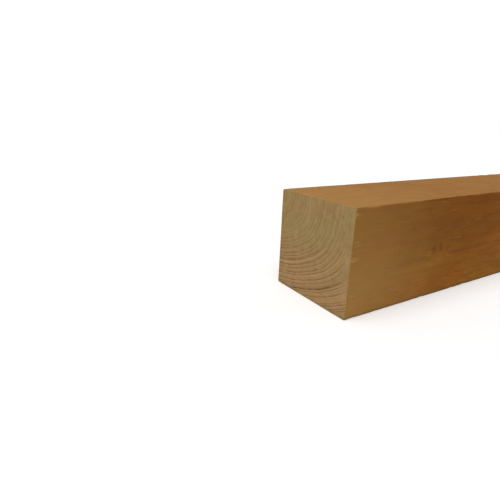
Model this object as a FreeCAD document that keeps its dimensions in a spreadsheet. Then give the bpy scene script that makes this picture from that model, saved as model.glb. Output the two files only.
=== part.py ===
"""A square garden post of rough-sawn softwood, lying on one of its long faces.

The post is one length of solid timber, sawn square and cross-cut square at both ends.
Its four long arrises are slightly worn, and the outermost fibres are broken off round
the ends.

Frame: millimetres, +Z up, +X along the grain. The origin is the middle of the face
that the post lies on, so the post rests on Z = 0.
"""

import FreeCAD, Part  # FreeCAD has to be imported before Part

import os

import Sketcher

# What the post is made to: name, size in millimetres and what it measures.
DIMENSIONS = [
    ("post_length", 1800.0, "from one cross-cut end to the other, along X"),
    ("section_width", 150.0, "across the post, along Y"),
    ("section_height", 150.0, "up the post, along Z"),
    ("arris_radius", 1.0, "rounding worn on the four long arrises"),
    ("end_bevel", 0.8, "fibres broken off round each cross-cut end"),
]

POST = "timber_post"  # the node's name
LONG_ARRISES = 4
END_EDGES = 16  # round each end, four straight edges and the four short arcs between them
TOUCHING = 1e-6  # millimetres


def make_sheet(doc):
    """The driving dimensions, one row each, with the name as the value's alias."""
    sheet = doc.addObject("Spreadsheet::Sheet", "dimensions")
    for row, (alias, value, meaning) in enumerate(DIMENSIONS, start=1):
        sheet.set(f"A{row}", meaning)
        sheet.set(f"B{row}", str(value))
        sheet.setAlias(f"B{row}", alias)
    doc.recompute()
    return sheet


def origin_plane(body, role):
    """One of the body's own origin planes, found by its role."""
    return next(plane for plane in body.Origin.OriginFeatures if plane.Role == role)


def draw_section(body, sheet):
    """The sawn section, a rectangle on the YZ plane that sits on Z = 0, centred on Y = 0."""
    sketch = body.newObject("Sketcher::SketchObject", "section")
    sketch.AttachmentSupport = (origin_plane(body, "YZ_Plane"), "")
    sketch.MapMode = "FlatFace"

    half = sheet.section_width / 2
    height = sheet.section_height
    corners = [
        FreeCAD.Vector(-half, 0, 0),
        FreeCAD.Vector(half, 0, 0),
        FreeCAD.Vector(half, height, 0),
        FreeCAD.Vector(-half, height, 0),
    ]
    bed, back, crown, front = range(4)
    for side in (bed, back, crown, front):
        line = Part.LineSegment(corners[side], corners[(side + 1) % 4])
        sketch.addGeometry(line, False)

    start, end = 1, 2  # how a constraint names the two ends of a line
    origin, centre = -1, 1  # and the sketch's own origin

    def constrain(*words):
        return sketch.addConstraint(Sketcher.Constraint(*words))

    for side in (bed, back, crown, front):
        constrain("Coincident", side, end, (side + 1) % 4, start)
    for side in (bed, crown):
        constrain("Horizontal", side)
    for side in (back, front):
        constrain("Vertical", side)
    constrain("PointOnObject", bed, start, origin)

    driven = {
        "width": constrain("DistanceX", bed, start, bed, end, 2 * half),
        "half_width": constrain("DistanceX", origin, centre, bed, end, half),
        "height": constrain("DistanceY", back, start, back, end, height),
    }
    for name, constraint in driven.items():
        sketch.renameConstraint(constraint, name)
    sketch.setExpression("Constraints.width", "dimensions.section_width")
    sketch.setExpression("Constraints.half_width", "dimensions.section_width / 2")
    sketch.setExpression("Constraints.height", "dimensions.section_height")
    return sketch


def saw_timber(body, section):
    """The section carried the whole length of the post, half of it each way from X = 0."""
    timber = body.newObject("PartDesign::Pad", "sawn_timber")
    timber.Profile = section
    timber.SideType = "Symmetric"
    timber.setExpression("Length", "dimensions.post_length")
    return timber


def edges_where(shape, wanted, count):
    """The names of the edges that wanted is true of, of which there have to be count."""
    names = [f"Edge{i}" for i, edge in enumerate(shape.Edges, start=1) if wanted(edge)]
    if len(names) != count:
        raise RuntimeError(f"expected {count} edges and found {len(names)}")
    return names


def wear_arrises(body, timber):
    """The four long arrises, rounded as handling leaves them."""

    def runs_along_the_grain(edge):
        return edge.BoundBox.XLength > TOUCHING

    worn = body.newObject("PartDesign::Fillet", "worn_arrises")
    worn.Base = (timber, edges_where(timber.Shape, runs_along_the_grain, LONG_ARRISES))
    worn.setExpression("Radius", "dimensions.arris_radius")
    return worn


def break_end_edges(body, worn):
    """The edge round each cross-cut end, where the outermost fibres have broken away."""

    def lies_in_an_end(edge):
        return edge.BoundBox.XLength < TOUCHING

    broken = body.newObject("PartDesign::Chamfer", "broken_end_edges")
    broken.Base = (worn, edges_where(worn.Shape, lies_in_an_end, END_EDGES))
    broken.setExpression("Size", "dimensions.end_bevel")
    return broken


def make_post(doc, sheet):
    """The post as one body, from its section to its worn edges."""
    body = doc.addObject("PartDesign::Body", "post_body")
    body.Label = POST
    timber = saw_timber(body, draw_section(body, sheet))
    doc.recompute()
    worn = wear_arrises(body, timber)
    doc.recompute()
    broken = break_end_edges(body, worn)
    body.Tip = broken
    doc.recompute()
    return body


def check(doc, body):
    """Stops the script if a feature failed, or if the body isn't one valid solid."""
    for item in doc.Objects:
        if "Invalid" in item.State or "Error" in item.State:
            raise RuntimeError(f"{item.Name} failed: {item.State}")
    shape = body.Shape
    if shape.isNull() or not shape.isValid() or len(shape.Solids) != 1:
        raise RuntimeError(f"{body.Label} isn't one valid solid")


def export(body):
    """Writes the body as parts/NODE.step and prints its volume and where it lies."""
    os.makedirs("parts", exist_ok=True)
    body.Shape.exportStep(f"parts/{body.Label}.step")
    box = body.Shape.BoundBox
    litres = body.Shape.Volume / 1e6
    print(f"{body.Label}: {litres:.3f} litres")
    print(f"X {box.XMin:.1f} to {box.XMax:.1f}")
    print(f"Y {box.YMin:.1f} to {box.YMax:.1f}")
    print(f"Z {box.ZMin:.1f} to {box.ZMax:.1f}")


def main():
    doc = FreeCAD.newDocument("garden_post")
    post = make_post(doc, make_sheet(doc))
    check(doc, post)
    export(post)


main()
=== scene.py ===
"""A sawn softwood garden post lying on its bed face: one squared length of timber."""
import math
import bmesh
import bpy
from mathutils import Matrix, Vector


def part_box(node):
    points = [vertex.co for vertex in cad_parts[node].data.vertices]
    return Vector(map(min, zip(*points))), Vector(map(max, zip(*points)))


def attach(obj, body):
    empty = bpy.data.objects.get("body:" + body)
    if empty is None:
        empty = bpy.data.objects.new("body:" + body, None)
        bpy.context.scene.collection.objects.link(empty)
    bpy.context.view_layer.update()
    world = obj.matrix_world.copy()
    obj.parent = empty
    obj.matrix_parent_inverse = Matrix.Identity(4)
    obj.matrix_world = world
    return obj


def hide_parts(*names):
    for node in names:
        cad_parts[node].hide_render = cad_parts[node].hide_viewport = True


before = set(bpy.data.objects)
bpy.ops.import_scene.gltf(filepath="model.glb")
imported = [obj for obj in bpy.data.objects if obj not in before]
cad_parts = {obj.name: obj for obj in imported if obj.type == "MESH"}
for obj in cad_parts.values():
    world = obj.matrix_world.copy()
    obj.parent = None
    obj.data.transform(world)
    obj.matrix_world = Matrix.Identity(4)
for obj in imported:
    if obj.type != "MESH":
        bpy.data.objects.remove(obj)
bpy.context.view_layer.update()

MM = 0.001

# The post, from the frame. The foot end is the one at the low end of X.
LOW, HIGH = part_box("timber_post")
LENGTH = HIGH.x - LOW.x
SECTION = HIGH.z - LOW.z
HALF = SECTION / 2
CENTRE = (LOW + HIGH) / 2

# Edges as the saw and handling leave them.
ARRIS_ROUND = 1.0 * MM
ARRIS_STEPS = 3
END_BREAK = 0.6 * MM
EDGE_MARGIN = 1.8 * MM
END_WEAR = 4.5 * MM

# Depths of the relief, and how far it reaches from an arris or an end.
END_RIDGE = 0.40 * MM
END_DISH = 0.35 * MM
FURROW_DEPTH = 0.16 * MM
SIDE_LEAN = 0.25 * MM
SOFT_WOOD_DEPTH = 0.10 * MM
KNOT_HOLLOW = 0.70 * MM
NICK_DEPTH = 1.3 * MM
NICK_REACH = 4.5 * MM
TORN_DEPTH = 0.8 * MM
TORN_REACH = 22 * MM
RUB_DEPTH = 0.35 * MM

# The mesh is fine across the grain, and along it only where the wood turns round a whorl.
CELLS_ACROSS_HALF = 60
FINE_STRETCH = 0.30
MIDDLE_STRETCH = 0.28
FINE_CELL = 6 * MM
MIDDLE_CELL = 9 * MM
PLAIN_CELL = 29 * MM

# Growth: the pith runs along the back top arris, and the rings flatten below it.
PITH_Y = HIGH.y + 1.8 * MM
PITH_Z = HIGH.z - 5.4 * MM
RING_PITCH = 6.8 * MM
STEM_TAPER = 0.007
STEM_SWEEP = 7 * MM
SLOW_WAVER = 7.0 * MM
FINE_WAVER = 1.3 * MM
JAGGED_WAVER = 2.6 * MM

# Branches stand in whorls up the stem: distance from the foot end, how dark their knots are,
# then each branch's own direction round the pith in degrees (0 is straight down, 90 is toward
# the front) and girth.
WHORLS = (
    (127 * MM, 0.40, ((64.0, 5.4 * MM), (94.5, 1.5 * MM))),
    (590 * MM, 1.00, ((34.0, 12.0 * MM), (74.0, 8.5 * MM), (4.0, 11.0 * MM))),
    (1060 * MM, 0.85, ((52.0, 12.5 * MM), (14.0, 9.0 * MM), (86.0, 4.5 * MM))),
    (1490 * MM, 1.00, ((68.0, 10.0 * MM), (27.0, 13.0 * MM))),
)
BRANCH_LIFT = 0.30


def paint(red, green, blue):
    """A colour given as 0 to 255, as linear light."""
    def linear(level):
        level = level / 255
        return level / 12.92 if level <= 0.04045 else ((level + 0.055) / 1.055) ** 2.4
    return (linear(red), linear(green), linear(blue), 1.0)


# ---------------------------------------------------------------- nodes

def feed(tree, socket, value):
    """Links a socket to another node's output, or sets it to a plain value."""
    if isinstance(value, bpy.types.NodeSocket):
        tree.links.new(value, socket)
    else:
        socket.default_value = value


def put(tree, kind, sockets=None, **settings):
    """Adds one node with its settings, and feeds the sockets that are named."""
    made = tree.nodes.new(kind)
    for name, value in settings.items():
        setattr(made, name, value)
    for name, value in (sockets or {}).items():
        feed(tree, made.inputs[name], value)
    return made


def calc(tree, operation, *terms, clamp=False):
    """One step of arithmetic."""
    made = put(tree, "ShaderNodeMath", operation=operation, use_clamp=clamp)
    for socket, term in zip(made.inputs, terms):
        feed(tree, socket, term)
    return made.outputs[0]


def ease(tree, value, start, end, low=0.0, high=1.0):
    """Goes smoothly from low to high as value goes from start to end."""
    made = put(
        tree, "ShaderNodeMapRange",
        {"Value": value, "From Min": start, "From Max": end, "To Min": low, "To Max": high},
        interpolation_type="SMOOTHSTEP",
    )
    return made.outputs["Result"]


def bend_line(tree, value, start, end, low=0.0, high=1.0):
    """Goes in a straight line from low to high as value goes from start to end."""
    made = put(
        tree, "ShaderNodeMapRange",
        {"Value": value, "From Min": start, "From Max": end, "To Min": low, "To Max": high},
    )
    return made.outputs["Result"]


def split(tree, position):
    """The three parts of a place or direction."""
    made = put(tree, "ShaderNodeSeparateXYZ", {"Vector": position})
    return made.outputs["X"], made.outputs["Y"], made.outputs["Z"]


def join(tree, x, y, z):
    """A place or direction from its three parts."""
    made = put(tree, "ShaderNodeCombineXYZ", {"X": x, "Y": y, "Z": z})
    return made.outputs["Vector"]


def mottle(tree, position, long, wide, detail=2.0, rough=0.5, shift=0.0):
    """Noise about 0.5 whose patches are that long with the grain and that wide across it."""
    scaled = put(tree, "ShaderNodeVectorMath", operation="MULTIPLY_ADD")
    feed(tree, scaled.inputs[0], position)
    scaled.inputs[1].default_value = (1 / long, 1 / wide, 1 / wide)
    scaled.inputs[2].default_value = (shift, shift * 0.7, -shift)
    noise = put(
        tree, "ShaderNodeTexNoise",
        {"Vector": scaled.outputs[0], "Scale": 1.0, "Detail": detail, "Roughness": rough},
    )
    return noise.outputs[0]


def wave(tree, value, period, phase=0.0):
    """A sine of that period, from -1 to 1."""
    turned = calc(tree, "MULTIPLY_ADD", value, math.tau / period, phase)
    return calc(tree, "SINE", turned)


def blend_colours(tree, share, first, second, mode="MIX"):
    """Goes from the first colour to the second as share goes from 0 to 1."""
    made = put(tree, "ShaderNodeMix", data_type="RGBA", blend_type=mode)
    feed(tree, made.inputs[0], share)
    feed(tree, made.inputs[6], first)
    feed(tree, made.inputs[7], second)
    return made.outputs[2]


# ---------------------------------------------------------------- how the tree grew

def pith_at(tree, x):
    """Where the pith is at a place along the post. It sweeps gently on its way up the stem."""
    along = calc(tree, "SUBTRACT", x, LOW.x)
    sweep = calc(tree, "SUBTRACT", 1.0, calc(tree, "COSINE", calc(tree, "MULTIPLY", along, 3.1)))
    sway = calc(tree, "SINE", calc(tree, "MULTIPLY", along, 4.3))
    return (
        calc(tree, "MULTIPLY_ADD", sweep, -STEM_SWEEP, PITH_Y),
        calc(tree, "MULTIPLY_ADD", sway, STEM_SWEEP / 2, PITH_Z),
        along,
    )


def lay_rings(tree, position, swell):
    """The growth rings through a place: how dark its latewood is, the pale ridge beside it, a chance
    number for its year, and how far in front of the pith and below it the place is, in widths of
    the section. swell pushes the rings outward by a length."""
    x, y, z = split(tree, position)
    pith_y, pith_z, along = pith_at(tree, x)
    across = calc(tree, "DIVIDE", calc(tree, "SUBTRACT", pith_y, y), SECTION)
    below = calc(tree, "DIVIDE", calc(tree, "SUBTRACT", pith_z, z), SECTION)
    # The rings are round by the pith, and flatten and close up toward the bed.
    narrowed = calc(tree, "MULTIPLY_ADD", calc(tree, "MULTIPLY", below, below), 0.52, 1.0)
    side = calc(tree, "DIVIDE", across, narrowed)
    spread = calc(tree, "ADD", calc(tree, "MULTIPLY", below, 0.156), calc(tree, "MULTIPLY", across, 0.239))
    down = calc(tree, "MULTIPLY", below, calc(tree, "ADD", spread, 1.0))
    squares = calc(tree, "ADD", calc(tree, "MULTIPLY", side, side), calc(tree, "MULTIPLY", down, down))
    reach = calc(tree, "SQRT", squares)
    # Taper, slow and fine waviness, jagged rings in the upper part, and the swelling round branches.
    length = calc(tree, "MULTIPLY", calc(tree, "POWER", reach, 0.9), SECTION)
    length = calc(tree, "MULTIPLY_ADD", along, STEM_TAPER, length)
    slow = calc(tree, "SUBTRACT", mottle(tree, position, 0.42, 0.060, 2.0, 0.5, 3.1), 0.5)
    fine = calc(tree, "SUBTRACT", mottle(tree, position, 0.10, 0.012, 2.0, 0.5, 7.7), 0.5)
    length = calc(tree, "MULTIPLY_ADD", slow, SLOW_WAVER, length)
    length = calc(tree, "MULTIPLY_ADD", fine, FINE_WAVER, length)
    jagged = calc(tree, "SUBTRACT", mottle(tree, position, 0.05, 0.0060, 3.0, 0.6, 8.3), 0.5)
    jagged = calc(tree, "MULTIPLY", jagged, ease(tree, below, 0.75, 0.30))
    length = calc(tree, "MULTIPLY_ADD", jagged, JAGGED_WAVER, length)
    length = calc(tree, "ADD", length, swell)
    count = calc(tree, "DIVIDE", length, RING_PITCH)
    # Good and poor years: wide and narrow rings.
    years = put(
        tree, "ShaderNodeTexNoise",
        {"W": calc(tree, "MULTIPLY", count, 0.45), "Scale": 1.0, "Detail": 1.0},
        noise_dimensions="1D",
    )
    count = calc(tree, "MULTIPLY_ADD", years.outputs[0], 2.2, count)
    part = calc(tree, "FRACT", count)
    year = calc(tree, "FLOOR", count)
    rise = ease(tree, part, 0.46, 0.78)
    fall = ease(tree, part, 0.84, 0.94, 1.0, 0.0)
    latewood = calc(tree, "MULTIPLY", rise, fall)
    ridge = calc(tree, "MULTIPLY", ease(tree, part, 0.86, 0.95), ease(tree, part, 1.0, 0.97))
    spring = ease(tree, part, 0.24, 0.0)
    ridge = calc(tree, "MAXIMUM", ridge, spring)
    chance = put(tree, "ShaderNodeTexWhiteNoise", {"W": year}, noise_dimensions="1D").outputs["Value"]
    return {"latewood": latewood, "ridge": ridge, "chance": chance, "across": across, "below": below}


def grow_branches(tree, position):
    """The branches of every whorl: where knot wood is, the bark line round it, and how far the
    rings swell out beside it."""
    x, y, z = split(tree, position)
    pith_y, pith_z, along = pith_at(tree, x)
    knot, rim, swell = 0.0, 0.0, 0.0
    ripple = calc(tree, "SUBTRACT", mottle(tree, position, 0.010, 0.008, 2.0, 0.5, 1.3), 0.5)
    for distance, darkness, branches in WHORLS:
        for direction, girth in branches:
            angle = math.radians(direction)
            # The branch starts at the pith and climbs a little up the stem as it goes out.
            out_y = calc(tree, "MULTIPLY", calc(tree, "SUBTRACT", y, pith_y), -math.sin(angle))
            out = calc(tree, "MULTIPLY_ADD", calc(tree, "SUBTRACT", z, pith_z), -math.cos(angle), out_y)
            out = calc(tree, "MAXIMUM", out, 0.0)
            off_y = calc(tree, "MULTIPLY", calc(tree, "SUBTRACT", y, pith_y), math.cos(angle))
            off = calc(tree, "MULTIPLY_ADD", calc(tree, "SUBTRACT", z, pith_z), -math.sin(angle), off_y)
            climb = calc(tree, "MULTIPLY_ADD", out, -BRANCH_LIFT, calc(tree, "SUBTRACT", along, distance))
            # Its section is longer with the grain than across it.
            climb = calc(tree, "MULTIPLY", climb, 0.62)
            away = calc(tree, "SQRT", calc(tree, "ADD", calc(tree, "MULTIPLY", off, off),
                                           calc(tree, "MULTIPLY", climb, climb)))
            thick = calc(tree, "MULTIPLY_ADD", out, girth / SECTION * 0.55, girth * 0.45)
            share = calc(tree, "DIVIDE", away, thick)
            share = calc(tree, "MULTIPLY_ADD", ripple, 0.9, share)
            knot = calc(tree, "MAXIMUM", knot, ease(tree, share, 1.0, 0.75, 0.0, darkness))
            near = calc(tree, "MULTIPLY", ease(tree, share, 0.25, 0.85), ease(tree, share, 1.90, 0.95))
            # The bark line is darkest where the grain parts, before and after the branch.
            parting = calc(tree, "ABSOLUTE", calc(tree, "DIVIDE", climb, calc(tree, "ADD", away, 0.1 * MM)))
            near = calc(tree, "MULTIPLY", near, ease(tree, parting, 0.2, 0.9, darkness - 0.30, darkness))
            rim = calc(tree, "MAXIMUM", rim, near)
            lift = calc(tree, "MULTIPLY", ease(tree, share, 4.2, 0.8), girth * 1.7)
            swell = calc(tree, "MAXIMUM", swell, lift)
    return {"knot": knot, "rim": rim, "swell": swell}


def break_fibres(tree, position, to_end):
    """Bundles of fibre that the crosscut tore out of the long faces."""
    bundles = ease(tree, mottle(tree, position, 0.022, 0.0055, 2.0, 0.5, 13.0), 0.58, 0.68)
    return calc(tree, "MULTIPLY", bundles, ease(tree, to_end, TORN_REACH, 1.0 * MM))


def edge_distance(tree, position):
    """How far a place on the surface is from the nearest long arris, and from the nearest end."""
    x, y, z = split(tree, position)
    from_side = calc(tree, "SUBTRACT", HALF, calc(tree, "ABSOLUTE", calc(tree, "SUBTRACT", y, CENTRE.y)))
    from_top = calc(tree, "SUBTRACT", HALF, calc(tree, "ABSOLUTE", calc(tree, "SUBTRACT", z, CENTRE.z)))
    from_end = calc(tree, "SUBTRACT", LENGTH / 2, calc(tree, "ABSOLUTE", calc(tree, "SUBTRACT", x, CENTRE.x)))
    return calc(tree, "MAXIMUM", from_side, from_top), from_end


# ---------------------------------------------------------------- the timber's shape

def choose_edges(timber, wanted):
    """Selects the edges that pass the test, which gets each edge's middle and its full vector."""
    bpy.ops.mesh.select_mode(type="EDGE")
    bpy.ops.mesh.select_all(action="DESELECT")
    shape = bmesh.from_edit_mesh(timber.data)
    for edge in shape.edges:
        first, second = edge.verts[0].co, edge.verts[1].co
        edge.select_set(wanted((first + second) / 2, second - first))
    bmesh.update_edit_mesh(timber.data)


def slice_across(timber, axis, place):
    """Cuts right through the timber without parting it."""
    bpy.ops.mesh.select_all(action="SELECT")
    bpy.ops.mesh.bisect(plane_co=axis * place, plane_no=axis)


def runs_along(axis, vector):
    """Whether an edge lies along an axis."""
    return abs(vector.normalized().dot(axis)) > 0.999


def saw_timber():
    """The squared length, with eased arrises and a mesh fine enough to carry its relief."""
    bpy.ops.object.select_all(action="DESELECT")
    bpy.ops.mesh.primitive_cube_add(size=1, location=CENTRE, scale=(LENGTH, SECTION, SECTION))
    timber = bpy.context.active_object
    timber.name = "garden_post_timber"
    timber.data.name = "garden_post_timber"
    bpy.ops.object.transform_apply(location=True, rotation=True, scale=True)

    along, across, upward = Vector((1, 0, 0)), Vector((0, 1, 0)), Vector((0, 0, 1))
    bpy.ops.object.mode_set(mode="EDIT")
    bpy.ops.mesh.select_mode(type="EDGE")
    fine_end = LOW.x + FINE_STRETCH
    middle_end = fine_end + MIDDLE_STRETCH
    for place in (LOW.x + EDGE_MARGIN, fine_end, middle_end, HIGH.x - EDGE_MARGIN):
        slice_across(timber, along, place)
    for place in (LOW.x + END_WEAR, HIGH.x - END_WEAR):
        slice_across(timber, along, place)
    for place in (LOW.y + EDGE_MARGIN, CENTRE.y, HIGH.y - EDGE_MARGIN):
        slice_across(timber, across, place)
    for place in (LOW.z + EDGE_MARGIN, CENTRE.z, HIGH.z - EDGE_MARGIN):
        slice_across(timber, upward, place)

    def on_arris(middle, vector):
        """One of the four long corner edges."""
        corner = abs(abs(middle.y - CENTRE.y) - HALF) + abs(abs(middle.z - CENTRE.z) - HALF)
        return corner < 0.01 * MM and runs_along(along, vector)

    choose_edges(timber, on_arris)
    bpy.ops.mesh.bevel(offset=ARRIS_ROUND, segments=ARRIS_STEPS, profile=0.5, affect="EDGES")

    def round_end(middle, vector):
        """An edge of an end's outline."""
        at_end = abs(abs(middle.x - CENTRE.x) - LENGTH / 2) < 0.01 * MM
        outside = max(abs(middle.y - CENTRE.y), abs(middle.z - CENTRE.z)) > HALF - ARRIS_ROUND * 0.3
        sloping = abs(vector.y) > 0.01 * MM and abs(vector.z) > 0.01 * MM
        return at_end and (outside or sloping) and abs(vector.x) < 0.01 * MM and not crosses(middle, vector)

    def crosses(middle, vector):
        """An edge that runs inward from the end's outline."""
        from_side = HALF - abs(middle.y - CENTRE.y)
        from_top = HALF - abs(middle.z - CENTRE.z)
        along_y = abs(vector.z) < 0.01 * MM
        along_z = abs(vector.y) < 0.01 * MM
        return (along_y and from_top > 0.01 * MM) or (along_z and from_side > 0.01 * MM)

    choose_edges(timber, round_end)
    bpy.ops.mesh.bevel(offset=END_BREAK, segments=1, affect="EDGES")

    # Across the grain, then along it, stretch by stretch.
    half_span = HALF - EDGE_MARGIN
    for axis in (across, upward):
        def in_half(middle, vector):
            return runs_along(axis, vector) and vector.length > half_span / 2
        choose_edges(timber, in_half)
        bpy.ops.mesh.subdivide(number_cuts=CELLS_ACROSS_HALF - 1)
    stretches = (
        (LOW.x + END_WEAR, fine_end, FINE_CELL),
        (fine_end, middle_end, MIDDLE_CELL),
        (middle_end, HIGH.x - END_WEAR, PLAIN_CELL),
    )
    for start, end, cell in stretches:
        def in_stretch(middle, vector):
            return runs_along(along, vector) and start < middle.x < end and vector.length > cell * 2
        choose_edges(timber, in_stretch)
        bpy.ops.mesh.subdivide(number_cuts=round((end - start) / cell) - 1)
    bpy.ops.object.mode_set(mode="OBJECT")
    return timber


def lay_out_faces(timber):
    """A flat layout of the post's skin: the four sides as long strips, the two ends side by side."""
    mesh = timber.data
    layout = mesh.uv_layers.new(name="OFBake")
    strip = 0.188
    gap = 0.004
    end_width = 0.49
    for face in mesh.polygons:
        turn = face.normal
        for corner in face.loop_indices:
            place = mesh.vertices[mesh.loops[corner].vertex_index].co
            run = (place.x - LOW.x) / LENGTH
            rise = (place.z - LOW.z) / SECTION
            over = (place.y - LOW.y) / SECTION
            if abs(turn.x) > 0.8:
                row = 0 if turn.x < 0 else 1
                spot = (gap + row * (end_width + 2 * gap) + over * end_width,
                        4 * (strip + gap) + gap + rise * (1 - 4 * (strip + gap) - 2 * gap))
            else:
                if abs(turn.z) > abs(turn.y):
                    row, share = (0 if turn.z > 0 else 1), over
                else:
                    row, share = (2 if turn.y < 0 else 3), rise
                spot = (gap + run * (1 - 2 * gap), gap + row * (strip + gap) + share * strip)
            layout.data[corner].uv = spot


def wear_timber(timber):
    """Works the relief into the mesh: ring ridges on the ends, furred grain on the sides, worn
    arrises and the hollows round knots. Every point only moves inward."""
    tree = bpy.data.node_groups.new("timber_relief", "GeometryNodeTree")
    tree.interface.new_socket("Geometry", in_out="INPUT", socket_type="NodeSocketGeometry")
    tree.interface.new_socket("Geometry", in_out="OUTPUT", socket_type="NodeSocketGeometry")
    start = put(tree, "NodeGroupInput")
    finish = put(tree, "NodeGroupOutput")
    position = put(tree, "GeometryNodeInputPosition").outputs[0]
    normal = put(tree, "GeometryNodeInputNormal").outputs[0]

    branches = grow_branches(tree, position)
    rings = lay_rings(tree, position, branches["swell"])
    facing = calc(tree, "ABSOLUTE", split(tree, normal)[0])
    on_end = ease(tree, facing, 0.75, 0.95)
    to_arris, to_end = edge_distance(tree, position)

    # On the ends the hard latewood stands up.
    early = calc(tree, "SUBTRACT", 1.0, rings["ridge"])
    ridges = calc(tree, "MULTIPLY", early, calc(tree, "MULTIPLY", end_contrast(tree, rings), END_RIDGE))
    dish = calc(tree, "MULTIPLY", mottle(tree, position, 0.05, 0.05, 2.0, 0.5, 2.0), END_DISH)
    end_depth = calc(tree, "ADD", ridges, dish)

    # On the sides the saw leaves long, low furrows.
    furrow = ease(tree, mottle(tree, position, 0.11, 0.0042, 3.0, 0.6, 5.0), 0.42, 0.72)
    lean = mottle(tree, position, 0.35, 0.05, 1.0, 0.5, 9.0)
    side_depth = calc(tree, "MULTIPLY_ADD", furrow, FURROW_DEPTH, calc(tree, "MULTIPLY", lean, SIDE_LEAN))
    side_depth = calc(tree, "MULTIPLY_ADD", early, SOFT_WOOD_DEPTH, side_depth)
    hollow = calc(tree, "MINIMUM", branches["rim"], 0.40)
    side_depth = calc(tree, "MULTIPLY_ADD", hollow, KNOT_HOLLOW, side_depth)

    depth = put(tree, "ShaderNodeMix", data_type="FLOAT")
    feed(tree, depth.inputs[0], on_end)
    feed(tree, depth.inputs[2], side_depth)
    feed(tree, depth.inputs[3], end_depth)
    depth = depth.outputs[0]

    # Nicks press the arrises in toward the pair of faces that they join.
    nick = ease(tree, mottle(tree, position, 0.024, 0.014, 3.0, 0.6, 11.0), 0.53, 0.74)
    nick = calc(tree, "MULTIPLY", nick, ease(tree, to_arris, NICK_REACH, 0.0))
    x, y, z = split(tree, position)
    pressed = [
        calc(tree, "MULTIPLY", nick, calc(tree, "MULTIPLY", calc(tree, "SIGN", offset), -NICK_DEPTH))
        for offset in (calc(tree, "SUBTRACT", y, CENTRE.y), calc(tree, "SUBTRACT", z, CENTRE.z))
    ]

    # The crosscut tears fibres out of the long faces, and the ends are rubbed.
    broken = break_fibres(tree, position, to_end)
    broken = calc(tree, "MULTIPLY", broken, ease(tree, to_end, 0.3 * MM, 2.5 * MM, 0.3, 1.0))
    broken = calc(tree, "MULTIPLY", broken, calc(tree, "SUBTRACT", 1.0, on_end))
    depth = calc(tree, "MULTIPLY_ADD", broken, TORN_DEPTH, depth)
    rubbed = ease(tree, to_end, END_WEAR, 0.0)
    rubbed = calc(tree, "MULTIPLY", rubbed, ease(tree, to_arris, END_WEAR, 0.0, 0.35, 1.0))
    depth = calc(tree, "MULTIPLY_ADD", rubbed, RUB_DEPTH, depth)

    inward = put(tree, "ShaderNodeVectorMath", operation="SCALE")
    feed(tree, inward.inputs[0], normal)
    feed(tree, inward.inputs["Scale"], calc(tree, "MULTIPLY", depth, -1.0))
    both = put(tree, "ShaderNodeVectorMath", operation="ADD")
    feed(tree, both.inputs[0], inward.outputs[0])
    feed(tree, both.inputs[1], join(tree, 0.0, *pressed))
    moved = put(tree, "GeometryNodeSetPosition", {"Geometry": start.outputs[0], "Offset": both.outputs[0]})
    tree.links.new(moved.outputs[0], finish.inputs[0])

    relief = timber.modifiers.new("relief", "NODES")
    relief.node_group = tree
    bpy.context.view_layer.objects.active = timber
    bpy.ops.object.modifier_apply(modifier=relief.name)
    bpy.data.node_groups.remove(tree)


def end_contrast(tree, rings):
    """How strongly the rings stand out on an end: faint by the pith, bold low down."""
    low_down = ease(tree, rings["below"], 0.25, 0.82, 0.26, 1.0)
    front = ease(tree, rings["across"], 0.86, 0.99, 0.0, 0.75)
    spared = calc(tree, "MULTIPLY", front, ease(tree, rings["below"], 0.95, 0.70))
    return calc(tree, "MULTIPLY", low_down, calc(tree, "SUBTRACT", 1.0, spared))


# ---------------------------------------------------------------- shared effects for the finishes

def new_effect(name, inputs, outputs):
    """An empty shader group with its named sockets, and its two end nodes."""
    tree = bpy.data.node_groups.new(name, "ShaderNodeTree")
    for label, kind, value in inputs:
        socket = tree.interface.new_socket(label, in_out="INPUT", socket_type=kind)
        if value is not None:
            socket.default_value = value
    for label, kind in outputs:
        tree.interface.new_socket(label, in_out="OUTPUT", socket_type=kind)
    return tree, put(tree, "NodeGroupInput"), put(tree, "NodeGroupOutput")


NUMBER = "NodeSocketFloat"
PLACE = "NodeSocketVector"


def make_knots_effect():
    tree, given, result = new_effect(
        "branch_knots", [("Position", PLACE, None)],
        [("Knot", NUMBER), ("Rim", NUMBER), ("Swell", NUMBER)],
    )
    made = grow_branches(tree, given.outputs["Position"])
    feed(tree, result.inputs["Knot"], made["knot"])
    feed(tree, result.inputs["Rim"], made["rim"])
    feed(tree, result.inputs["Swell"], made["swell"])
    return tree


def make_rings_effect():
    tree, given, result = new_effect(
        "growth_rings", [("Position", PLACE, None), ("Swell", NUMBER, 0.0)],
        [("Latewood", NUMBER), ("Ridge", NUMBER), ("Year", NUMBER), ("End Contrast", NUMBER)],
    )
    made = lay_rings(tree, given.outputs["Position"], given.outputs["Swell"])
    feed(tree, result.inputs["Latewood"], made["latewood"])
    feed(tree, result.inputs["Ridge"], made["ridge"])
    feed(tree, result.inputs["Year"], made["chance"])
    feed(tree, result.inputs["End Contrast"], end_contrast(tree, made))
    return tree


def make_fibres_effect():
    """Fine fibres with the grain: long streaks, short flecks, sparse dashes and fuzz."""
    tree, given, result = new_effect(
        "fibres", [("Position", PLACE, None)],
        [("Streak", NUMBER), ("Fleck", NUMBER), ("Dash", NUMBER), ("Fuzz", NUMBER)],
    )
    position = given.outputs["Position"]
    feed(tree, result.inputs["Streak"], mottle(tree, position, 0.16, 0.0030, 4.0, 0.6, 21.0))
    feed(tree, result.inputs["Fleck"], mottle(tree, position, 0.024, 0.0028, 3.0, 0.6, 27.0))
    feed(tree, result.inputs["Dash"], mottle(tree, position, 0.045, 0.0034, 1.0, 0.5, 25.0))
    feed(tree, result.inputs["Fuzz"], mottle(tree, position, 0.006, 0.0008, 3.0, 0.7, 31.0))
    return tree


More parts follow.
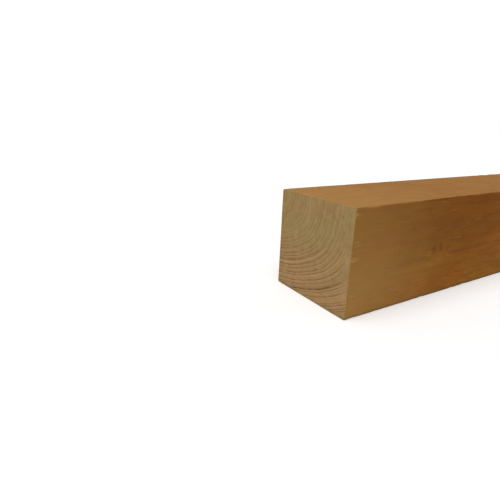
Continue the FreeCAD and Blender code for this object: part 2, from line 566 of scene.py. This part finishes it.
def make_blotches_effect():
    """Slow changes of tone: warm and olive patches, and light and dark ones."""
    tree, given, result = new_effect(
        "blotches", [("Position", PLACE, None)], [("Warmth", NUMBER), ("Tone", NUMBER)],
    )
    position = given.outputs["Position"]
    warmth = mottle(tree, position, 0.075, 0.040, 2.0, 0.5, 41.0)
    tone = mottle(tree, position, 0.070, 0.022, 4.0, 0.6, 47.0)
    feed(tree, result.inputs["Warmth"], ease(tree, warmth, 0.36, 0.64))
    feed(tree, result.inputs["Tone"], ease(tree, tone, 0.36, 0.64))
    return tree


def make_edges_effect():
    """What happens near the edges: rubbed arrises, paler on the long faces partly as a painted highlight;
    painted shade along the arrises; painted light toward the ends; torn ends; the stain along the bed, and a
    mask of the upper face."""
    tree, given, result = new_effect(
        "edge_wear", [("Position", PLACE, None), ("Reach", NUMBER, 3 * MM)],
        [("Arris", NUMBER), ("Painted End Light", NUMBER), ("Stain", NUMBER), ("Painted Arris Shade", NUMBER), ("Torn", NUMBER),
         ("Lid", NUMBER)],
    )
    position = given.outputs["Position"]
    to_arris, to_end = edge_distance(tree, position)
    uneven = mottle(tree, position, 0.030, 0.012, 3.0, 0.6, 53.0)
    reach = calc(tree, "MULTIPLY", given.outputs["Reach"], calc(tree, "MULTIPLY", uneven, 2.0))
    feed(tree, result.inputs["Arris"], ease(tree, calc(tree, "DIVIDE", to_arris, reach), 1.0, 0.2))
    # Painted light: paler toward each end, standing in for the light that falls off along the post.
    wander = calc(tree, "MULTIPLY_ADD", calc(tree, "SUBTRACT", uneven, 0.5), 0.08, to_end)
    feed(tree, result.inputs["Painted End Light"], ease(tree, wander, 0.25, -0.03))
    feed(tree, result.inputs["Torn"], break_fibres(tree, position, to_end))
    # Painted shade: dark patches along the long arrises, standing in for the shade beneath the edges, kept
    # away from the ends.
    patches = ease(tree, mottle(tree, position, 0.050, 0.030, 3.0, 0.6, 57.0), 0.36, 0.50)
    spared = ease(tree, to_end, 0.04, 0.20)
    width = calc(tree, "MULTIPLY", uneven, 7.0 * MM)
    painted_shade_band = calc(tree, "MULTIPLY", ease(tree, calc(tree, "DIVIDE", to_arris, width), 1.0, 0.4), patches)
    feed(tree, result.inputs["Painted Arris Shade"], calc(tree, "MULTIPLY", painted_shade_band, spared))
    x, y, z = split(tree, position)
    from_side = calc(tree, "SUBTRACT", HALF, calc(tree, "ABSOLUTE", calc(tree, "SUBTRACT", y, CENTRE.y)))
    topmost = calc(tree, "MULTIPLY", ease(tree, z, HIGH.z - 2.2 * MM, HIGH.z - 0.9 * MM),
                   ease(tree, from_side, 0.7 * MM, 1.5 * MM))
    feed(tree, result.inputs["Lid"], topmost)
    height = calc(tree, "SUBTRACT", z, LOW.z)
    soaked = calc(tree, "MULTIPLY", uneven, 12 * MM)
    feed(tree, result.inputs["Stain"], ease(tree, calc(tree, "DIVIDE", height, soaked), 1.0, 0.1))
    return tree


def make_saw_effect():
    """The teeth's marks: shallow lines across the cut, in feed waves."""
    tree, given, result = new_effect(
        "saw_marks", [("Position", PLACE, None), ("Along", NUMBER, 0.0)], [("Height", NUMBER)],
    )
    x, y, z = split(tree, given.outputs["Position"])
    wobble = mottle(tree, given.outputs["Position"], 0.050, 0.045, 3.0, 0.5, 61.0)
    travel = calc(tree, "MULTIPLY_ADD", wobble, 34 * MM, given.outputs["Along"])
    teeth = wave(tree, travel, 8.5 * MM)
    feed_wave = wave(tree, travel, 31 * MM, 1.0)
    faint = ease(tree, mottle(tree, given.outputs["Position"], 0.10, 0.05, 2.0, 0.5, 67.0), 0.35, 0.65)
    height = calc(tree, "MULTIPLY_ADD", feed_wave, 0.5, teeth)
    feed(tree, result.inputs["Height"], calc(tree, "MULTIPLY", height, faint))
    return tree


def place_effect(tree, effect, **sockets):
    """Puts a shared effect in a finish, with its own values, and gives its outputs."""
    made = put(tree, "ShaderNodeGroup", node_tree=effect)
    for name, value in sockets.items():
        feed(tree, made.inputs[name.replace("_", " ")], value)
    return made.outputs


# ---------------------------------------------------------------- finishes

def start_finish(name):
    """A new finish, its nodes, its surface shader and the place on the piece."""
    finish = bpy.data.materials.new(name)
    finish.use_nodes = True
    tree = finish.node_tree
    surface = tree.nodes["Principled BSDF"]
    position = put(tree, "ShaderNodeTexCoord").outputs["Object"]
    return finish, tree, surface, position


def bumped(tree, surface, *layers):
    """Stacks bump layers, each a height and a depth in metres, under the surface's normal."""
    normal = None
    for height, depth in layers:
        bump = put(tree, "ShaderNodeBump", {"Height": height, "Distance": depth, "Strength": 1.0})
        if normal is not None:
            tree.links.new(normal, bump.inputs["Normal"])
        normal = bump.outputs[0]
    tree.links.new(normal, surface.inputs["Normal"])


def finish_sawn_face(effects):
    """The long faces: warm brown heartwood off the saw, matt and a little furred."""
    finish, tree, surface, position = start_finish("sawn_face")
    surface.inputs["Specular IOR Level"].default_value = 0.10
    x, y, z = split(tree, position)
    knots = place_effect(tree, effects["knots"], Position=position)
    rings = place_effect(tree, effects["rings"], Position=position, Swell=knots["Swell"])
    fibres = place_effect(tree, effects["fibres"], Position=position)
    blotches = place_effect(tree, effects["blotches"], Position=position)
    edges = place_effect(tree, effects["edges"], Position=position, Reach=2.6 * MM)

    body = blend_colours(tree, blotches["Warmth"], paint(155, 105, 27), paint(164, 100, 28))
    # Painted shade: the upright faces are darkened toward their top, so their lower part looks more lit; the
    # upper face is darkened less, and evenly.
    painted_shade_to_top = ease(tree, z, LOW.z, HIGH.z, 0.0, 0.80)
    painted_shade_to_top = calc(tree, "MULTIPLY_ADD", edges["Lid"], -0.58, painted_shade_to_top)
    body = blend_colours(tree, painted_shade_to_top, body, paint(127, 70, 4))
    dim = calc(tree, "MULTIPLY", calc(tree, "SUBTRACT", 1.0, blotches["Tone"]), 0.55)
    body = blend_colours(tree, dim, body, paint(214, 206, 186), "MULTIPLY")
    # Painted highlight: the upper face is painted paler, standing in for the sheen that the light from above
    # gives it.
    body = blend_colours(tree, calc(tree, "MULTIPLY", edges["Lid"], 0.30), body, paint(168, 130, 76))
    late = calc(tree, "MULTIPLY", rings["Latewood"], calc(tree, "MULTIPLY_ADD", rings["Year"], 0.30, 0.20))
    body = blend_colours(tree, late, body, paint(112, 64, 22))
    streak = ease(tree, fibres["Streak"], 0.52, 0.76, 0.0, 0.16)
    body = blend_colours(tree, streak, body, paint(112, 68, 26))
    fleck = ease(tree, fibres["Fleck"], 0.57, 0.72, 0.0, 0.40)
    body = blend_colours(tree, fleck, body, paint(104, 64, 24))
    pale = ease(tree, fibres["Fleck"], 0.38, 0.26, 0.0, 0.30)
    body = blend_colours(tree, pale, body, paint(186, 140, 80))
    dash = ease(tree, fibres["Dash"], 0.62, 0.72, 0.0, 0.26)
    body = blend_colours(tree, dash, body, paint(92, 56, 18))
    # Painted light: the faces are painted paler toward each end, and more so low down, standing in for the
    # light that falls off along the post.
    painted_end_light = calc(tree, "MULTIPLY", edges["Painted End Light"], ease(tree, z, HIGH.z, LOW.z, 0.55, 1.0))
    body = blend_colours(tree, calc(tree, "MULTIPLY", painted_end_light, 0.92), body, paint(171, 129, 70))
    body = blend_colours(tree, calc(tree, "MULTIPLY", edges["Torn"], 0.60), body, paint(192, 150, 90))
    body = blend_colours(tree, calc(tree, "MULTIPLY", knots["Knot"], 0.72), body, paint(128, 74, 22))
    body = blend_colours(tree, calc(tree, "MULTIPLY", knots["Rim"], 1.0, clamp=True), body, paint(88, 52, 8))
    # Paler arrises: partly rubbed wear, partly a painted highlight where the edges catch the light.
    body = blend_colours(tree, calc(tree, "MULTIPLY", edges["Arris"], 0.30), body, paint(176, 130, 72))
    # Painted shade along the arrises, kept off the upper face.
    painted_arris_shade = calc(tree, "MULTIPLY", edges["Painted Arris Shade"], calc(tree, "SUBTRACT", 1.0, edges["Lid"]))
    body = blend_colours(tree, calc(tree, "MULTIPLY", painted_arris_shade, 0.62), body, paint(84, 46, 8))
    body = blend_colours(tree, calc(tree, "MULTIPLY", edges["Stain"], 0.60), body, paint(120, 96, 56))
    tree.links.new(body, surface.inputs["Base Color"])

    rough = calc(tree, "MULTIPLY_ADD", fibres["Fleck"], 0.16, 0.70)
    feed(tree, surface.inputs["Roughness"], calc(tree, "MULTIPLY_ADD", rings["Latewood"], -0.06, rough))
    saw = place_effect(tree, effects["saw"], Position=position,
                       Along=calc(tree, "MULTIPLY_ADD", z, 0.10, calc(tree, "MULTIPLY_ADD", y, 0.10, x)))
    bumped(
        tree, surface,
        (saw["Height"], 0.03 * MM),
        (calc(tree, "SUBTRACT", 1.0, knots["Rim"]), 0.5 * MM),
        (fibres["Streak"], 0.3 * MM),
        (fibres["Fleck"], 0.5 * MM),
        (fibres["Fuzz"], 0.14 * MM),
    )
    return finish


def finish_end_grain(effects):
    """The crosscut ends: paler, with dark latewood lines and the pores of the cut fibres."""
    finish, tree, surface, position = start_finish("end_grain")
    surface.inputs["Specular IOR Level"].default_value = 0.18
    x, y, z = split(tree, position)
    knots = place_effect(tree, effects["knots"], Position=position)
    rings = place_effect(tree, effects["rings"], Position=position, Swell=knots["Swell"])
    blotches = place_effect(tree, effects["blotches"], Position=position)
    edges = place_effect(tree, effects["edges"], Position=position, Reach=3.0 * MM)

    low_down = ease(tree, z, HIGH.z - 0.25 * SECTION, LOW.z)
    olive = blend_colours(tree, blotches["Warmth"], paint(162, 137, 87), paint(165, 134, 87))
    warm = blend_colours(tree, blotches["Warmth"], paint(172, 138, 92), paint(180, 138, 94))
    body = blend_colours(tree, low_down, olive, warm)
    heart = ease(tree, y, HIGH.y - 0.20 * SECTION, HIGH.y, 0.0, 0.50)
    body = blend_colours(tree, heart, body, paint(160, 130, 70))
    # Some years are darker wood all through, and the saw has scuffed patches of the face.
    years = calc(tree, "MULTIPLY", ease(tree, rings["Year"], 0.45, 0.95), 0.22)
    body = blend_colours(tree, years, body, paint(136, 108, 64))
    scuffs = mottle(tree, position, 0.016, 0.0095, 3.0, 0.65, 75.0)
    body = blend_colours(tree, ease(tree, scuffs, 0.50, 0.68, 0.0, 0.30), body, paint(132, 106, 66))
    body = blend_colours(tree, ease(tree, scuffs, 0.46, 0.32, 0.0, 0.28), body, paint(186, 158, 110))
    patchy = ease(tree, mottle(tree, position, 0.026, 0.022, 3.0, 0.6, 73.0), 0.34, 0.56, 0.50, 1.0)
    torn = ease(tree, mottle(tree, position, 0.014, 0.0090, 2.0, 0.5, 79.0), 0.36, 0.58, 0.66, 1.0)
    bold = calc(tree, "MULTIPLY", rings["End Contrast"], calc(tree, "MULTIPLY", patchy, torn))
    year = calc(tree, "MULTIPLY_ADD", rings["Year"], 0.50, 0.60)
    late = calc(tree, "MULTIPLY", rings["Latewood"], calc(tree, "MULTIPLY", bold, year))
    body = blend_colours(tree, late, body, paint(104, 72, 34))
    # The pale band beside each latewood line is partly the pale wood where the next ring starts, partly a
    # painted highlight along the raised ridge.
    ridge = calc(tree, "MULTIPLY", rings["Ridge"], calc(tree, "MULTIPLY", bold, 0.62))
    body = blend_colours(tree, ridge, body, paint(206, 166, 118))
    body = blend_colours(tree, calc(tree, "MULTIPLY", edges["Arris"], 0.30), body, paint(158, 122, 74))
    body = blend_colours(tree, calc(tree, "MULTIPLY", edges["Stain"], 0.45), body, paint(116, 106, 70))
    tree.links.new(body, surface.inputs["Base Color"])
    surface.inputs["Roughness"].default_value = 0.85
    pores = mottle(tree, position, 0.0012, 0.0007, 3.0, 0.7, 71.0)
    saw = place_effect(tree, effects["saw"], Position=position, Along=calc(tree, "MULTIPLY_ADD", z, 0.35, y))
    bumped(
        tree, surface,
        (saw["Height"], 0.04 * MM),
        (ridge, 0.5 * MM),
        (pores, 0.25 * MM),
    )
    return finish


def dress_timber(timber):
    """Gives the long faces and the two ends their finishes."""
    effects = {
        "knots": make_knots_effect(),
        "rings": make_rings_effect(),
        "fibres": make_fibres_effect(),
        "blotches": make_blotches_effect(),
        "edges": make_edges_effect(),
        "saw": make_saw_effect(),
    }
    timber.data.materials.append(finish_sawn_face(effects))
    timber.data.materials.append(finish_end_grain(effects))
    for face in timber.data.polygons:
        face.material_index = 1 if abs(face.normal.x) > 0.5 else 0


# ---------------------------------------------------------------- studio

def seen_directly(tree):
    """1 where the surroundings are looked at, straight or in a gloss, and 0 where they give light."""
    light_path = put(tree, "ShaderNodeLightPath").outputs
    seen = calc(tree, "MAXIMUM", light_path["Is Camera Ray"], light_path["Is Glossy Ray"])
    return calc(tree, "MAXIMUM", seen, light_path["Is Transmission Ray"])


def lay_floor():
    """A plain white floor that runs out of sight and keeps the post's shadow."""
    bpy.ops.object.select_all(action="DESELECT")
    bpy.ops.mesh.primitive_plane_add(size=60, location=(0, 0, LOW.z))
    floor = bpy.context.active_object
    floor.name = "studio_floor"
    finish = bpy.data.materials.new("white_floor")
    finish.use_nodes = True
    tree = finish.node_tree
    tree.nodes.clear()
    out = put(tree, "ShaderNodeOutputMaterial")
    seen = seen_directly(tree)
    plain = put(tree, "ShaderNodeBsdfDiffuse", {"Color": (0.8, 0.8, 0.8, 1)})
    white = put(tree, "ShaderNodeBsdfDiffuse", {"Color": (0.9, 0.9, 0.9, 1)})
    glow = put(tree, "ShaderNodeEmission", {"Color": (1, 1, 1, 1), "Strength": 0.18})
    lit = put(tree, "ShaderNodeAddShader")
    tree.links.new(white.outputs[0], lit.inputs[0])
    tree.links.new(glow.outputs[0], lit.inputs[1])
    mixed = put(tree, "ShaderNodeMixShader", {"Fac": seen})
    tree.links.new(plain.outputs[0], mixed.inputs[1])
    tree.links.new(lit.outputs[0], mixed.inputs[2])
    tree.links.new(mixed.outputs[0], out.inputs["Surface"])
    floor.data.materials.append(finish)


def light_studio():
    """Even white surroundings, and one broad soft lamp high over the foot end."""
    world = bpy.data.worlds.new("studio")
    bpy.context.scene.world = world
    world.use_nodes = True
    tree = world.node_tree
    tree.nodes.clear()
    out = put(tree, "ShaderNodeOutputWorld")
    seen = seen_directly(tree)
    strength = bend_line(tree, seen, 0.0, 1.0, 0.42, 1.0)
    sky = put(tree, "ShaderNodeBackground", {"Color": (1, 1, 1, 1), "Strength": strength})
    tree.links.new(sky.outputs[0], out.inputs["Surface"])

    lamp = bpy.data.lights.new("key_lamp", "SUN")
    lamp.energy = 1.85
    lamp.angle = math.radians(50)
    key = bpy.data.objects.new("key_lamp", lamp)
    bpy.context.scene.collection.objects.link(key)
    toward = Vector((0.35, 0.12, -1.0))
    key.rotation_mode = "QUATERNION"
    key.rotation_quaternion = toward.to_track_quat("-Z", "Y")


def set_camera():
    """Stands in front of the foot end and to its left, close to it, looking down a little."""
    near_corner = Vector((LOW.x, LOW.y, LOW.z))
    place = near_corner + SECTION * Vector((-2.2575, -2.1066, 1.5972))
    turn = Matrix.Rotation(math.radians(-31.368), 4, "Z")
    tip = Matrix.Rotation(math.radians(90 - 18.126), 4, "X")
    roll = Matrix.Rotation(math.radians(1.721), 4, "Z")
    data = bpy.data.cameras.new("camera")
    data.lens = 27.51
    data.sensor_width = 36
    data.clip_start = 0.01
    data.clip_end = 100
    camera = bpy.data.objects.new("camera", data)
    bpy.context.scene.collection.objects.link(camera)
    camera.matrix_world = Matrix.Translation(place) @ turn @ tip @ roll
    bpy.context.scene.camera = camera


set_camera()
light_studio()
lay_floor()

timber = saw_timber()
lay_out_faces(timber)
dress_timber(timber)
wear_timber(timber)
bpy.ops.object.shade_smooth_by_angle(angle=math.radians(35))
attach(timber, "root")
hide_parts("timber_post")

bpy.context.scene.view_settings.view_transform = "Standard"
